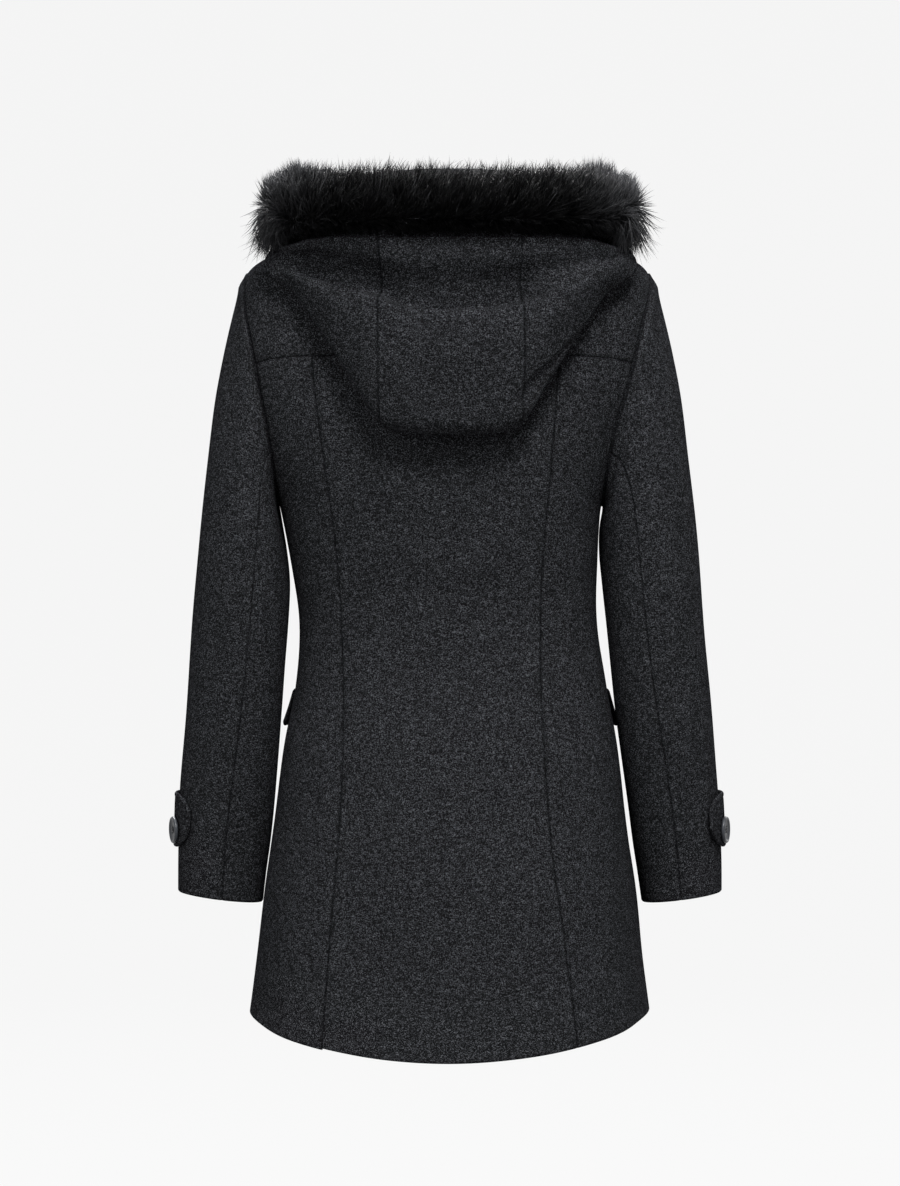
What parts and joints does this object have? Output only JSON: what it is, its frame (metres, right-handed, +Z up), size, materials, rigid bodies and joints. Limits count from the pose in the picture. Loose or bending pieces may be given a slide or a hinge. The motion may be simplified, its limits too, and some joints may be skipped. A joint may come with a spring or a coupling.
{
  "type": "duffle coat",
  "caption": "Fitted hooded wool duffle coat in its worn, hollow shape, hood down with a thick fur edge, two-piece sleeves with buttoned cuff tabs, and a toggle front.",
  "frame": {"origin": "middle of the neck at the level of the shoulders, where the wearer holds the coat up", "axes": "+Z up, -Y towards the front of the coat, +X towards the wearer's left side"},
  "size_m": [0.5647, 0.338, 0.8701],
  "materials": {
    "wool_coating": "melange wool coating, brushed, matt",
    "faux_fur": "long soft pile",
    "button_plastic": "satin",
    "toggle_horn": "satin, faintly streaked like horn",
    "cord": "braided cord",
    "patch_leather": "smooth, semi-matt"
  },
  "bodies": {
    "root": {"yoke": "wool_coating", "back_centre": "wool_coating", "back_side_left": "wool_coating", "back_side_right": "wool_coating", "front_left": "wool_coating", "front_right": "wool_coating", "top_sleeve_left": "wool_coating", "top_sleeve_right": "wool_coating", "under_sleeve_left": "wool_coating", "under_sleeve_right": "wool_coating", "pocket_flap_left": "wool_coating", "pocket_flap_right": "wool_coating", "cuff_tab_left": "wool_coating", "cuff_tab_right": "wool_coating", "hood_centre": "wool_coating", "hood_side_left": "wool_coating", "hood_side_right": "wool_coating", "fur_edge": "faux_fur", "cuff_button_left": "button_plastic", "cuff_button_right": "button_plastic", "toggle_1": "toggle_horn", "toggle_2": "toggle_horn", "toggle_3": "toggle_horn", "toggle_4": "toggle_horn", "loop_1": "cord", "loop_2": "cord", "loop_3": "cord", "loop_4": "cord", "loop_patch_1": "patch_leather", "loop_patch_2": "patch_leather", "loop_patch_3": "patch_leather", "loop_patch_4": "patch_leather", "toggle_patch_1": "patch_leather", "toggle_patch_2": "patch_leather", "toggle_patch_3": "patch_leather", "toggle_patch_4": "patch_leather"}
  },
  "joints": []
}
